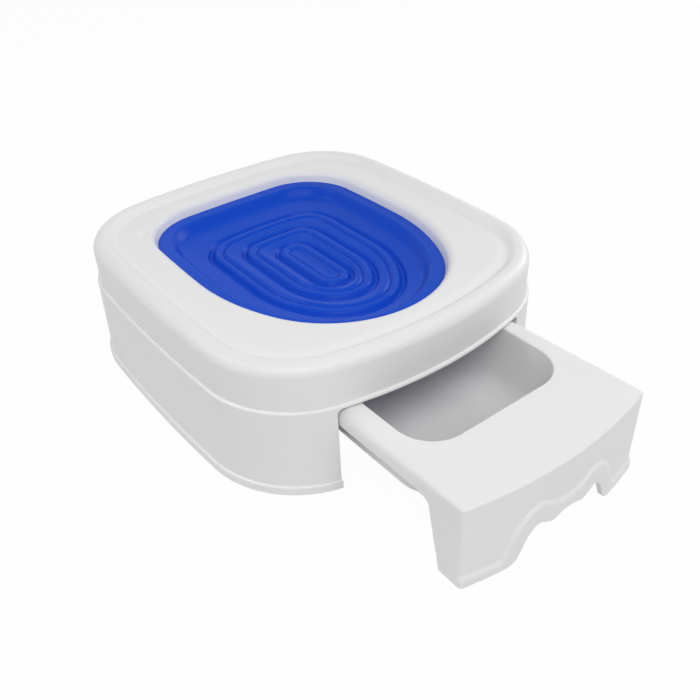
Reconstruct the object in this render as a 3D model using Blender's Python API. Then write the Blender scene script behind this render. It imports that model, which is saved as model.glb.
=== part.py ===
"""Drawer cat litter box with a nested training tray, in metres, +Z up, front towards -Y.

The cover rests on a skirt-like base, a tub drawer runs on two rails inside the base, and a blue
tray with two lift-out rings and a cap fills the D-shaped hole in the cover. The drawer stands
part way out.
"""
import math

import bmesh
import bpy

# Outline of the cover's skirt, seen from above
BODY_HALF_WIDTH = 0.190
BODY_FRONT = 0.2072
BODY_BACK = 0.2105
BODY_SIDE_BOW = 0.0109
BODY_FRONT_BOW = 0.0430
BODY_BACK_BOW = 0.0197
BODY_FRONT_RADIUS = 0.1017
BODY_BACK_RADIUS = 0.0942

# Walls and clearances
WALL = 0.0030
SEAT_GAP = 0.0003
FIT_GAP = 0.0005
OVERRUN = 0.0100

# Base
WALL_PROUD = 0.0030
FOOT_PROUD = 0.0040
FOOT_HEIGHT = 0.0095
FOOT_ROUND = 0.0034
LIP_HEIGHT = 0.0060
OPENING_MARGIN = 0.0021
JAMB_DEPTH = 0.0790

# Cover, and how far its skirt comes down to the seam
COVER_HEIGHT = 0.1410
COVER_DEPTH = 0.0456
RIM_ROUND = 0.0105
RIM_CREST_WIDTH = 0.0030
GROOVE_IN = 0.0240
GROOVE_DEPTH = 0.0054
DECK_IN = 0.0350
DECK_DROP = 0.0040
HOLE_ROUND = 0.0050

# D-shaped hole in the deck, and the seat below it
HOLE_HALF_WIDTH = 0.1303
HOLE_FRONT = 0.1602
HOLE_BACK = 0.1645
COLLAR_IN = 0.0073
SEAT_WIDTH = 0.0085

# Training tray
TRAY_WALL = 0.0025
TRAY_DROP = 0.0118
FLANGE_WIDTH = 0.0100
FLANGE_ROUND = 0.0030
DISH_DEPTH = 0.0108
DISH_WALL_RUN = 0.0055
DISH_FILLET = 0.0040
BEAD_DROP = 0.0110
BEAD_WIDTH = 0.0050
BEAD_RISE = 0.0034
VALLEY_OUT = 0.0088
VALLEY_WIDTH = 0.0080
RING_EDGE_ROUND = 0.0012
RING_SEAT_DEPTH = 0.0046
RING_SEAT_WIDTH = 0.0040
RING_CREST_WIDTH = 0.0060

# Holes in the tray and the rings, measured to the crest of their beads
TRAY_HOLE_HALF_WIDTH = 0.0722
TRAY_HOLE_FRONT = 0.1090
TRAY_HOLE_BACK = 0.0962
OUTER_HOLE_HALF_WIDTH = 0.0428
OUTER_HOLE_FRONT = 0.0800
OUTER_HOLE_BACK = 0.0635
MIDDLE_HOLE_HALF_WIDTH = 0.0130
MIDDLE_HOLE_FRONT = 0.0500
MIDDLE_HOLE_BACK = 0.0372
CAP_DISH = 0.0006

# Bows of the sides, front and back of the holes, and radii of their front and back corners,
# as shares of their half width
DECK_HOLE_SHARES = (0.02, 0.75, 0.146, 0.94, 0.535)
RING_HOLE_SHARES = (0.02, 0.75, 0.10, 0.94, 0.42)
SLOT_SHARES = (0.02, 0.62, 0.55, 0.90, 0.85)

# Drawer
DRAWER_PULL = 0.1520
DRAWER_HALF_WIDTH = 0.1119
DRAWER_DROP = 0.0054
DRAWER_BACK = 0.1900
PLATE_SIDE_ROUND = 0.0090
PANEL_CORNER_ROUND = 0.0055
SKIRT_HEIGHT = 0.0180
LEG_TOP_DEPTH = 0.0350
LEG_FOOT_DEPTH = 0.0195
LEG_FILLET = 0.0070
APRON_HALF_WIDTH = 0.0580
APRON_HEIGHT = 0.0368
BORDER_PROUD = 0.0028
BORDER_FOOT_SHARE = 1.23
BAND_SHARE = 1.1
TUB_SIDE_MARGIN = 0.0229
TUB_FRONT_MARGIN = 0.0787
TUB_BACK_MARGIN = 0.0250
TUB_RADIUS = 0.0377
TUB_LIP_ROUND = 0.0020
TUB_FLOOR = 0.0110
TUB_FLOOR_ROUND = 0.0290
TUB_DRAFT = 0.0035

# The apron's edge from its middle to the leg, as shares of its half width and height
APRON_SHARES = (
    (0.00, 0.93), (0.16, 0.88), (0.32, 0.80), (0.47, 0.89), (0.60, 0.99),
    (0.72, 0.90), (0.83, 0.66), (0.92, 0.34), (1.00, 0.10), (1.12, 0.00),
)

# The upper line of the raised border, in the same shares
BORDER_SHARES = (
    (0.00, 1.26), (0.155, 1.28), (0.31, 1.36), (0.46, 1.49), (0.60, 1.56),
    (0.75, 1.50), (0.88, 1.34), (1.00, 1.11), (1.09, 0.84), (1.16, 0.55),
)

# Guide rails
RAIL_GAP = 0.0009
RAIL_THICKNESS = 0.0030
RAIL_FOOT_WIDTH = 0.0120
RAIL_TAB_LENGTH = 0.0200
RAIL_TAB_CLEARANCE = 0.0040
POCKET_DEPTH = 0.0120
POCKET_DROP = 0.0260

# Steps round the curves
FRONT_STEPS = 4
CORNER_STEPS = 6
SIDE_STEPS = 4
BACK_STEPS = 2
TUB_STEPS = 6
ROUND_STEPS = 3

# Looks
WHITE = (0.80, 0.80, 0.79, 1.0)
BLUE = (0.026, 0.091, 0.645, 1.0)
PLASTIC_ROUGHNESS = 0.35

WHOLE_FRONT = BODY_FRONT + WALL_PROUD + BORDER_PROUD + DRAWER_PULL
WHOLE_BACK = BODY_BACK + WALL_PROUD + FOOT_PROUD
BODY_Y = (WHOLE_FRONT - WHOLE_BACK) / 2

SEAM_HEIGHT = COVER_HEIGHT - COVER_DEPTH
DECK_HEIGHT = COVER_HEIGHT - DECK_DROP
TRAY_TOP = DECK_HEIGHT - TRAY_DROP
BEAD_HEIGHT = TRAY_TOP - BEAD_DROP
RING_SEAT_HEIGHT = BEAD_HEIGHT - RING_SEAT_DEPTH
DRAWER_HEIGHT = SEAM_HEIGHT - DRAWER_DROP
PLATE_UNDER = DRAWER_HEIGHT - WALL
OPENING_HALF_WIDTH = DRAWER_HALF_WIDTH + OPENING_MARGIN
TUB_HALF_WIDTH = DRAWER_HALF_WIDTH - TUB_SIDE_MARGIN

# The rails run in the space between the tub and the round of the drawer's side
RAIL_SPACE_INNER = TUB_HALF_WIDTH + WALL
RAIL_SPACE_OUTER = DRAWER_HALF_WIDTH - PLATE_SIDE_ROUND
RAIL_CENTRE = (RAIL_SPACE_INNER + RAIL_SPACE_OUTER) / 2
RAIL_HALF_FLANGE = (RAIL_SPACE_OUTER - RAIL_SPACE_INNER) / 2 - RAIL_GAP


def clear_scene():
    for obj in list(bpy.data.objects):
        bpy.data.objects.remove(obj, do_unlink=True)


def make_collection(name):
    collection = bpy.data.collections.new(name)
    bpy.context.scene.collection.children.link(collection)
    return collection


def make_material(name, colour):
    material = bpy.data.materials.new(name)
    material.use_nodes = True
    shader = material.node_tree.nodes["Principled BSDF"]
    shader.inputs["Base Color"].default_value = colour
    shader.inputs["Roughness"].default_value = PLASTIC_ROUGHNESS
    shader.inputs["Metallic"].default_value = 0.0
    return material


class Outline:
    """A closed outline of bowed sides, front and back, joined by tangent corner arcs.

    It starts at the middle of the front and runs round by +X. grow moves it outwards.
    """

    def __init__(self, half_width, front, back, side_bow, front_bow, back_bow, front_radius, back_radius):
        half_length = (front + back) / 2
        self.side_arc = (half_length ** 2 + side_bow ** 2) / (2 * side_bow)
        self.front_arc = (half_width ** 2 + front_bow ** 2) / (2 * front_bow)
        self.back_arc = (half_width ** 2 + back_bow ** 2) / (2 * back_bow)
        self.front_radius = front_radius
        self.back_radius = back_radius
        self.side_centre = (half_width - self.side_arc, (back - front) / 2)
        self.front_centre = (0.0, self.front_arc - front)
        self.back_centre = (0.0, back - self.back_arc)
        self.front_corner = self.corner(self.front_centre, self.front_arc, front_radius, -1)
        self.back_corner = self.corner(self.back_centre, self.back_arc, back_radius, 1)

    def corner(self, centre, arc, radius, towards):
        """Centre of the arc that touches the side and the front or back from inside."""
        dx = centre[0] - self.side_centre[0]
        dy = centre[1] - self.side_centre[1]
        distance = math.hypot(dx, dy)
        from_side = self.side_arc - radius
        from_end = arc - radius
        along = (from_side ** 2 - from_end ** 2 + distance ** 2) / (2 * distance)
        across = math.sqrt(max(from_side ** 2 - along ** 2, 0.0))
        best = None
        for sign in (-1, 1):
            x = self.side_centre[0] + (dx * along - dy * sign * across) / distance
            y = self.side_centre[1] + (dy * along + dx * sign * across) / distance
            if best is None or y * towards > best[1] * towards:
                best = (x, y)
        return best

    def points(self, grow=0.0):
        fc, bc = self.front_corner, self.back_corner
        angle_front = math.atan2(fc[1] - self.front_centre[1], fc[0] - self.front_centre[0])
        angle_side_front = math.atan2(fc[1] - self.side_centre[1], fc[0] - self.side_centre[0])
        angle_side_back = math.atan2(bc[1] - self.side_centre[1], bc[0] - self.side_centre[0])
        angle_back = math.atan2(bc[1] - self.back_centre[1], bc[0] - self.back_centre[0])
        arcs = (
            (self.front_centre, self.front_arc, -math.pi / 2, angle_front, FRONT_STEPS),
            (fc, self.front_radius, angle_front, angle_side_front, CORNER_STEPS),
            (self.side_centre, self.side_arc, angle_side_front, angle_side_back, SIDE_STEPS),
            (bc, self.back_radius, angle_side_back, angle_back, CORNER_STEPS),
            (self.back_centre, self.back_arc, angle_back, math.pi / 2, BACK_STEPS),
        )
        half = []
        for centre, radius, start, end, steps in arcs:
            for step in range(steps):
                angle = start + (end - start) * step / steps
                reach = radius + grow
                half.append((centre[0] + reach * math.cos(angle), centre[1] + reach * math.sin(angle)))
        back_middle = (0.0, self.back_centre[1] + self.back_arc + grow)
        other = [(-x, y) for x, y in reversed(half[1:])]
        return half + [back_middle] + other

    def front_y(self, x, grow=0.0):
        """Where the outline's front crosses a given x."""
        reach = self.front_arc + grow
        if abs(x) <= reach * math.cos(math.atan2(
                self.front_corner[1] - self.front_centre[1], self.front_corner[0])):
            return self.front_centre[1] - math.sqrt(reach ** 2 - x ** 2)
        reach = self.front_radius + grow
        return self.front_corner[1] - math.sqrt(max(reach ** 2 - (abs(x) - self.front_corner[0]) ** 2, 0.0))

    def back_y(self, x, grow=0.0):
        """Where the outline's back crosses a given x."""
        reach = self.back_arc + grow
        if abs(x) <= reach * math.cos(math.atan2(
                self.back_corner[1] - self.back_centre[1], self.back_corner[0])):
            return self.back_centre[1] + math.sqrt(reach ** 2 - x ** 2)
        reach = self.back_radius + grow
        return self.back_corner[1] + math.sqrt(max(reach ** 2 - (abs(x) - self.back_corner[0]) ** 2, 0.0))


def hole_outline(half_width, front, back, shares):
    return Outline(half_width, front, back, *[share * half_width for share in shares])


def rounded_rectangle(half_width, front, back, radius, grow=0.0):
    """Points of a rectangle with round corners, from front to back along Y."""
    points = []
    centres = (
        (half_width - radius, front + radius, -90), (half_width - radius, back - radius, 0),
        (radius - half_width, back - radius, 90), (radius - half_width, front + radius, 180),
    )
    for x, y, start in centres:
        for step in range(TUB_STEPS + 1):
            angle = math.radians(start + 90 * step / TUB_STEPS)
            reach = radius + grow
            points.append((x + reach * math.cos(angle), y + reach * math.sin(angle)))
    return points


def arc_profile(centre, radius, start, end, steps=ROUND_STEPS):
    """Points of an arc in a profile, angles in degrees."""
    points = []
    for step in range(steps + 1):
        angle = math.radians(start + (end - start) * step / steps)
        points.append((centre[0] + radius * math.cos(angle), centre[1] + radius * math.sin(angle)))
    return points


def rounded_corner(before, corner, after, radius, steps=ROUND_STEPS):
    """The arc that replaces one corner of a polygon."""
    a = (before[0] - corner[0], before[1] - corner[1])
    b = (after[0] - corner[0], after[1] - corner[1])
    length_a = math.hypot(*a)
    length_b = math.hypot(*b)
    a = (a[0] / length_a, a[1] / length_a)
    b = (b[0] / length_b, b[1] / length_b)
    half_angle = math.acos(max(-1.0, min(1.0, a[0] * b[0] + a[1] * b[1]))) / 2
    back_off = radius / math.tan(half_angle)
    middle = (a[0] + b[0], a[1] + b[1])
    length = math.hypot(*middle)
    away = radius / math.sin(half_angle)
    centre = (corner[0] + middle[0] / length * away, corner[1] + middle[1] / length * away)
    first = (corner[0] + a[0] * back_off, corner[1] + a[1] * back_off)
    last = (corner[0] + b[0] * back_off, corner[1] + b[1] * back_off)
    start = math.atan2(first[1] - centre[1], first[0] - centre[0])
    turn = math.atan2(last[1] - centre[1], last[0] - centre[0]) - start
    turn = (turn + math.pi) % (2 * math.pi) - math.pi
    points = []
    for step in range(steps + 1):
        angle = start + turn * step / steps
        points.append((centre[0] + radius * math.cos(angle), centre[1] + radius * math.sin(angle)))
    return points


def smooth_through(points, steps=2):
    """A Catmull-Rom curve through a list of points."""
    padded = [points[0]] + list(points) + [points[-1]]
    curve = []
    for index in range(1, len(padded) - 2):
        p0, p1, p2, p3 = padded[index - 1:index + 3]
        for step in range(steps):
            t = step / steps
            curve.append(tuple(
                0.5 * (2 * p1[k] + (p2[k] - p0[k]) * t
                       + (2 * p0[k] - 5 * p1[k] + 4 * p2[k] - p3[k]) * t ** 2
                       + (3 * p1[k] - p0[k] - 3 * p2[k] + p3[k]) * t ** 3)
                for k in (0, 1)))
    curve.append(tuple(points[-1]))
    return curve


def new_object(name, mesh, collection, material):
    obj = bpy.data.objects.new(name, mesh)
    collection.objects.link(obj)
    if material:
        mesh.materials.append(material)
        mesh.shade_smooth()
        mesh.set_sharp_from_angle(angle=math.radians(35))
    return obj


def finish_mesh(name, bm):
    bmesh.ops.recalc_face_normals(bm, faces=bm.faces)
    mesh = bpy.data.meshes.new(name)
    bm.to_mesh(mesh)
    bm.free()
    return mesh


def loft(name, sections, capped):
    """A closed skin through sections of equally many points: capped at its ends, or ring-shaped."""
    bm = bmesh.new()
    rings = [[bm.verts.new(point) for point in section] for section in sections]
    count = len(rings[0])
    followers = rings[1:] if capped else rings[1:] + rings[:1]
    for lower, upper in zip(rings, followers):
        for index in range(count):
            after = (index + 1) % count
            bm.faces.new((lower[index], lower[after], upper[after], upper[index]))
    if capped:
        bm.faces.new(rings[0])
        bm.faces.new(rings[-1])
    return finish_mesh(name, bm)


def at_height(points, z):
    return [(x, y, z) for x, y in points]


def along(outline, profile):
    """Sections of an outline for a profile of outward growths and heights."""
    return [at_height(outline.points(grow), z) for grow, z in profile]


def prism(name, points, low, high, axis="Z"):
    """A flat outline drawn out along one axis. Its points are (x, y), (x, z) or (y, z)."""
    place = {
        "Z": lambda p, d: (p[0], p[1], d),
        "Y": lambda p, d: (p[0], d, p[1]),
        "X": lambda p, d: (d, p[0], p[1]),
    }[axis]
    bm = bmesh.new()
    face = bm.faces.new([bm.verts.new(place(point, low)) for point in points])
    drawn = bmesh.ops.extrude_face_region(bm, geom=[face])
    moved = [item for item in drawn["geom"] if isinstance(item, bmesh.types.BMVert)]
    zero = place((0.0, 0.0), 0.0)
    shift = place((0.0, 0.0), high - low)
    bmesh.ops.translate(bm, verts=moved, vec=[s - z for s, z in zip(shift, zero)])
    return finish_mesh(name, bm)


def box(name, low, high):
    bm = bmesh.new()
    bmesh.ops.create_cube(bm, size=1.0)
    for vert in bm.verts:
        for k in range(3):
            vert.co[k] = (low[k] + high[k]) / 2 + vert.co[k] * (high[k] - low[k])
    return finish_mesh(name, bm)


def tool(name, mesh):
    """A shape that only cuts or joins another."""
    obj = new_object(name, mesh, CUTTERS, None)
    obj.hide_render = True
    obj.display_type = "WIRE"
    return obj


def boolean(obj, operation, other):
    """Cuts or joins with another shape, which moves along with the object."""
    other.parent = obj
    modifier = obj.modifiers.new(other.name, "BOOLEAN")
    modifier.operation = operation
    modifier.solver = "EXACT"
    modifier.object = other


def wave(start, end, shares):
    """Points between two profile points on a half cosine, at the given shares of the way."""
    points = []
    for share in shares:
        rise = (1 - math.cos(math.pi * share)) / 2
        points.append((start[0] + (end[0] - start[0]) * share, start[1] + (end[1] - start[1]) * rise))
    return points


def build_base(body):
    """Outer wall with foot flange, seam ledge and locating lip, cut open for the drawer."""
    foot_edge = WALL_PROUD + FOOT_PROUD
    wall_inside = WALL_PROUD - WALL
    lip = -WALL - FIT_GAP
    lip_top = SEAM_HEIGHT + LIP_HEIGHT
    profile = [(foot_edge, 0.0)]
    profile += arc_profile((foot_edge - FOOT_ROUND, FOOT_HEIGHT - FOOT_ROUND), FOOT_ROUND, 0, 90)
    profile += [
        (WALL_PROUD, FOOT_HEIGHT),
        (WALL_PROUD, SEAM_HEIGHT),
        (lip, SEAM_HEIGHT),
        (lip, lip_top),
        (lip - WALL, lip_top),
        (lip - WALL, SEAM_HEIGHT - WALL),
        (wall_inside, SEAM_HEIGHT - WALL),
        (wall_inside, FOOT_HEIGHT - WALL),
        (foot_edge - WALL, FOOT_HEIGHT - WALL),
        (foot_edge - WALL, 0.0),
    ]
    mesh = loft("base", along(body, profile), capped=False)
    base = new_object("base", mesh, PARTS, MATERIALS["white"])

    opening = box(
        "drawer_opening",
        (-OPENING_HALF_WIDTH, -BODY_FRONT - foot_edge - OVERRUN, -OVERRUN),
        (OPENING_HALF_WIDTH, -BODY_FRONT + JAMB_DEPTH, SEAM_HEIGHT + LIP_HEIGHT + OVERRUN))
    boolean(base, "DIFFERENCE", tool("drawer_opening", opening))

    ledge_under = SEAM_HEIGHT - WALL
    for side, label in ((-1, "left"), (1, "right")):
        inner = side * OPENING_HALF_WIDTH
        outer = side * (OPENING_HALF_WIDTH + WALL)
        jamb = box(
            "jamb_" + label,
            (min(inner, outer), body.front_y(outer, WALL_PROUD) + WALL / 2, 0.0),
            (max(inner, outer), -BODY_FRONT + JAMB_DEPTH, ledge_under - SEAT_GAP))
        boolean(base, "UNION", tool("jamb_" + label, jamb))
        for rib in (-1, 1):
            near = RAIL_CENTRE + rib * (RAIL_THICKNESS / 2 + SEAT_GAP)
            far = near + rib * WALL
            low_x, high_x = sorted((side * near, side * far))
            pocket = box(
                "pocket_{}_{}".format(label, "inner" if rib < 0 else "outer"),
                (low_x, rail_back(body) - POCKET_DEPTH, RAIL_THICKNESS * 2),
                (high_x, body.back_y(far) + WALL / 2, PLATE_UNDER - POCKET_DROP))
            boolean(base, "UNION", tool(pocket.name, pocket))
    return base


def build_cover(body, hole):
    """Skirt, rolled rim, groove and deck on the body's outline, then collar and seat on the hole's."""
    crest = (-RIM_ROUND - RIM_CREST_WIDTH, COVER_HEIGHT)
    groove = (-GROOVE_IN, COVER_HEIGHT - GROOVE_DEPTH)
    deck = (-DECK_IN, DECK_HEIGHT)
    rim_centre = (-RIM_ROUND, COVER_HEIGHT - RIM_ROUND)
    skirt_low = SEAM_HEIGHT + SEAT_GAP
    seat = TRAY_TOP - TRAY_WALL - SEAT_GAP
    seat_edge = -COLLAR_IN - SEAT_WIDTH

    outside = [(0.0, skirt_low)]
    outside += arc_profile(rim_centre, RIM_ROUND, 0, 90)
    outside += wave(crest, groove, (0.0, 0.35, 0.65, 1.0))
    outside += wave(groove, deck, (0.5, 1.0))
    hole_top = [
        (HOLE_ROUND, DECK_HEIGHT),
        (HOLE_ROUND * 0.3, DECK_HEIGHT - HOLE_ROUND * 0.15),
        (-COLLAR_IN * 0.1, DECK_HEIGHT - HOLE_ROUND * 0.6),
        (-COLLAR_IN, TRAY_TOP),
        (-COLLAR_IN, seat),
        (seat_edge, seat),
    ]
    hole_under = [
        (seat_edge, seat - WALL),
        (WALL - COLLAR_IN, seat - WALL),
        (WALL - COLLAR_IN, TRAY_TOP),
        (HOLE_ROUND, DECK_HEIGHT - WALL),
    ]
    inside = [
        (-DECK_IN, DECK_HEIGHT - WALL),
        (-GROOVE_IN, COVER_HEIGHT - GROOVE_DEPTH - WALL),
        (-RIM_ROUND - RIM_CREST_WIDTH, COVER_HEIGHT - WALL),
    ]
    inside += arc_profile(rim_centre, RIM_ROUND - WALL, 90, 0, 2)
    inside += [(-WALL, skirt_low)]
    sections = along(body, outside) + along(hole, hole_top + hole_under) + along(body, inside)
    mesh = loft("cover", sections, capped=False)
    return new_object("cover", mesh, PARTS, MATERIALS["white"])


def bead_top(hole):
    """Top of the valley, the raised bead and the seat that end a tray or ring at its hole."""
    crest = BEAD_HEIGHT
    valley = BEAD_HEIGHT - BEAD_RISE
    half = BEAD_WIDTH / 2
    return along(hole, [
        (VALLEY_OUT + VALLEY_WIDTH / 2, valley + BEAD_RISE * 0.4),
        (VALLEY_OUT, valley),
        (VALLEY_OUT - VALLEY_WIDTH * 0.4, valley + BEAD_RISE * 0.25),
        (half * 0.7, crest - BEAD_RISE * 0.15),
        (0.0, crest),
        (-half * 0.7, crest - BEAD_RISE * 0.1),
        (-half, crest - BEAD_RISE * 0.4),
        (-half, RING_SEAT_HEIGHT),
        (-half - RING_SEAT_WIDTH, RING_SEAT_HEIGHT),
    ])


def bead_under(hole):
    """Underside of the same stretch, from the seat back to the valley."""
    half = BEAD_WIDTH / 2
    under = RING_SEAT_HEIGHT - TRAY_WALL
    return along(hole, [
        (-half - RING_SEAT_WIDTH, under),
        (TRAY_WALL - half, under),
        (TRAY_WALL - half, BEAD_HEIGHT - TRAY_WALL),
        (VALLEY_OUT - VALLEY_WIDTH * 0.4, BEAD_HEIGHT - BEAD_RISE - TRAY_WALL),
        (VALLEY_OUT + VALLEY_WIDTH / 2, BEAD_HEIGHT - BEAD_RISE - TRAY_WALL),
    ])


def build_tray(hole, ring_hole):
    """Flange in the cover's seat, dish wall, sloping floor and the bead round its hole."""
    flange_edge = -COLLAR_IN - FIT_GAP
    brink = flange_edge - FLANGE_WIDTH
    foot = brink - FLANGE_ROUND * 0.5 - DISH_WALL_RUN
    floor = TRAY_TOP - DISH_DEPTH
    top = [
        (flange_edge, TRAY_TOP),
        (brink, TRAY_TOP),
        (brink - FLANGE_ROUND * 0.5, TRAY_TOP - FLANGE_ROUND * 0.35),
        (foot + DISH_WALL_RUN * 0.7, TRAY_TOP - FLANGE_ROUND),
        (foot, floor + DISH_FILLET),
        (foot - DISH_FILLET * 0.5, floor + DISH_FILLET * 0.25),
        (foot - DISH_FILLET, floor),
    ]
    under = [
        (foot - DISH_FILLET, floor - TRAY_WALL),
        (foot, floor + DISH_FILLET * 0.5 - TRAY_WALL),
        (brink, TRAY_TOP - TRAY_WALL),
        (flange_edge, TRAY_TOP - TRAY_WALL),
    ]
    sections = along(hole, top) + bead_top(ring_hole) + bead_under(ring_hole) + along(hole, under)
    mesh = loft("training_tray", sections, capped=False)
    return new_object("training_tray", mesh, PARTS, MATERIALS["blue"])


def build_ring(name, outer_hole, inner_hole):
    """A ring with a turned-down edge in the outer hole and a bead round the inner one."""
    edge = -BEAD_WIDTH / 2 - FIT_GAP
    crest = BEAD_HEIGHT - RING_EDGE_ROUND * 0.5
    foot = RING_SEAT_HEIGHT + SEAT_GAP
    top = [
        (edge, foot),
        (edge, crest - RING_EDGE_ROUND),
        (edge - RING_EDGE_ROUND * 0.3, crest - RING_EDGE_ROUND * 0.3),
        (edge - RING_EDGE_ROUND, crest),
        (edge - RING_CREST_WIDTH, crest - RING_EDGE_ROUND * 0.2),
    ]
    under = [
        (edge - RING_CREST_WIDTH, crest - TRAY_WALL),
        (edge - TRAY_WALL, crest - TRAY_WALL),
        (edge - TRAY_WALL, foot),
    ]
    sections = along(outer_hole, top) + bead_top(inner_hole)
    sections += bead_under(inner_hole) + along(outer_hole, under)
    mesh = loft(name, sections, capped=False)
    return new_object(name, mesh, PARTS, MATERIALS["blue"])


def build_cap(hole):
    """The piece that closes the innermost hole, slightly dished."""
    edge = BEAD_WIDTH / 2 + FIT_GAP
    crest = BEAD_HEIGHT - RING_EDGE_ROUND * 0.5
    under = RING_SEAT_HEIGHT + SEAT_GAP
    profile = [
        (-edge, under),
        (-edge, crest - RING_EDGE_ROUND),
        (-edge - RING_EDGE_ROUND * 0.3, crest - RING_EDGE_ROUND * 0.3),
        (-edge - RING_EDGE_ROUND, crest),
        (-edge - RING_EDGE_ROUND * 3, crest - CAP_DISH),
    ]
    mesh = loft("centre_cap", along(hole, profile), capped=True)
    return new_object("centre_cap", mesh, PARTS, MATERIALS["blue"])


def panel_points(body, half_width, grow, back):
    """The drawer's outline from above: the body's own front curve, straight sides and back."""
    steps = FRONT_STEPS * 4
    front = []
    for step in range(steps + 1):
        x = half_width * (step - steps / 2) / (steps / 2)
        front.append((x, body.front_y(x, grow)))
    return front + [(half_width, back), (-half_width, back)]


def round_upright_edges(mesh, half_width, radius):
    """Rounds the two upright edges where the front panel meets the sides."""
    bm = bmesh.new()
    bm.from_mesh(mesh)
    front = min(vert.co.y for vert in bm.verts if abs(abs(vert.co.x) - half_width) < half_width * 0.001)
    edges = []
    for edge in bm.edges:
        upright = abs(edge.verts[0].co.z - edge.verts[1].co.z) > half_width * 0.001
        at_corner = abs(abs(edge.verts[0].co.x) - half_width) < half_width * 0.001
        if upright and at_corner and edge.verts[0].co.y < front + radius:
            edges.append(edge)
    bmesh.ops.bevel(bm, geom=edges, offset=radius, segments=ROUND_STEPS, affect="EDGES")
    bm.to_mesh(mesh)
    bm.free()


def arch_points(half_width, top, radius, low):
    """Cross-section of the drawer: a block with rounded upper corners."""
    right = arc_profile((half_width - radius, top - radius), radius, 0, 90, ROUND_STEPS + 1)
    left = [(-x, z) for x, z in reversed(right)]
    return [(half_width, low)] + right + left + [(-half_width, low)]


def build_drawer(body):
    """One moulding: plate, tub, side skirts, bowed front panel on two legs and scalloped apron."""
    front = body.front_y(0.0, WALL_PROUD)
    side_front = body.front_y(DRAWER_HALF_WIDTH, WALL_PROUD)

    mesh = prism("drawer", panel_points(body, DRAWER_HALF_WIDTH, WALL_PROUD, DRAWER_BACK), 0.0, DRAWER_HEIGHT)
    round_upright_edges(mesh, DRAWER_HALF_WIDTH, PANEL_CORNER_ROUND)
    drawer = new_object("drawer", mesh, PARTS, MATERIALS["white"])
    outside = prism(
        "drawer_outside",
        arch_points(DRAWER_HALF_WIDTH, DRAWER_HEIGHT, PLATE_SIDE_ROUND, -OVERRUN),
        front - OVERRUN, DRAWER_BACK + OVERRUN, axis="Y")
    boolean(drawer, "INTERSECT", tool("drawer_outside", outside))

    apron = [(x * APRON_HALF_WIDTH, z * APRON_HEIGHT) for x, z in APRON_SHARES]
    edge = smooth_through(apron)
    border = smooth_through([(x * APRON_HALF_WIDTH, z * APRON_HEIGHT) for x, z in BORDER_SHARES])
    band_top = FOOT_HEIGHT * BAND_SHARE
    half_border = border + [
        (APRON_HALF_WIDTH * BORDER_FOOT_SHARE, band_top),
        (DRAWER_HALF_WIDTH + OVERRUN, band_top),
        (DRAWER_HALF_WIDTH + OVERRUN, 0.0)]
    border_shape = half_border + [(-x, z) for x, z in reversed(half_border[1:])]
    proud = prism(
        "border",
        panel_points(body, DRAWER_HALF_WIDTH, WALL_PROUD + BORDER_PROUD, side_front + PANEL_CORNER_ROUND),
        -OVERRUN, DRAWER_HEIGHT - PLATE_SIDE_ROUND)
    round_upright_edges(proud, DRAWER_HALF_WIDTH, PANEL_CORNER_ROUND)
    border_tool = tool("border", proud)
    shape = prism("border_shape", border_shape, front - 2 * OVERRUN, side_front + 2 * OVERRUN, axis="Y")
    boolean(border_tool, "INTERSECT", tool("border_shape", shape))
    boolean(drawer, "UNION", border_tool)

    hollow_half = DRAWER_HALF_WIDTH - WALL
    hollow = prism(
        "drawer_hollow_plan",
        panel_points(body, hollow_half, WALL_PROUD - WALL, DRAWER_BACK + OVERRUN), -OVERRUN, DRAWER_HEIGHT)
    round_upright_edges(hollow, hollow_half, PANEL_CORNER_ROUND - WALL)
    hollow_tool = tool("drawer_hollow", hollow)
    inside = prism(
        "drawer_inside",
        arch_points(hollow_half, PLATE_UNDER, PLATE_SIDE_ROUND - WALL, -2 * OVERRUN),
        front - OVERRUN, DRAWER_BACK + 2 * OVERRUN, axis="Y")
    boolean(hollow_tool, "INTERSECT", tool("drawer_inside", inside))
    boolean(drawer, "DIFFERENCE", hollow_tool)

    arch = [(x, z) for x, z in edge if z > 0.0] + [(edge[-1][0], 0.0), (edge[-1][0], -OVERRUN)]
    apron_cut = prism(
        "apron_cut", arch + [(-x, z) for x, z in reversed(arch[1:])],
        front - 2 * OVERRUN, side_front + LEG_FOOT_DEPTH, axis="Y")
    boolean(drawer, "DIFFERENCE", tool("apron_cut", apron_cut))

    skirt_low = DRAWER_HEIGHT - SKIRT_HEIGHT
    leg_foot = (side_front + LEG_FOOT_DEPTH, -OVERRUN)
    leg_top = (side_front + LEG_TOP_DEPTH, skirt_low)
    far_top = (DRAWER_BACK + OVERRUN, skirt_low)
    side_shape = [leg_foot] + rounded_corner(leg_foot, leg_top, far_top, LEG_FILLET)
    side_shape += [far_top, (DRAWER_BACK + OVERRUN, -OVERRUN)]
    side_cut = prism(
        "side_cut", side_shape, -DRAWER_HALF_WIDTH - OVERRUN, DRAWER_HALF_WIDTH + OVERRUN, axis="X")
    boolean(drawer, "DIFFERENCE", tool("side_cut", side_cut))

    cavity, shell = tub_profiles()
    tub_front = front + TUB_FRONT_MARGIN
    tub_back = DRAWER_BACK - TUB_BACK_MARGIN
    for name, profile, operation in (("tub_shell", shell, "UNION"), ("tub_cavity", cavity, "DIFFERENCE")):
        sections = []
        for grow, z in profile:
            outline = rounded_rectangle(TUB_HALF_WIDTH, tub_front, tub_back, TUB_RADIUS, grow)
            sections.append(at_height(outline, z))
        boolean(drawer, operation, tool(name, loft(name, sections, capped=True)))
    drawer.location.y = -DRAWER_PULL
    return drawer


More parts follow.
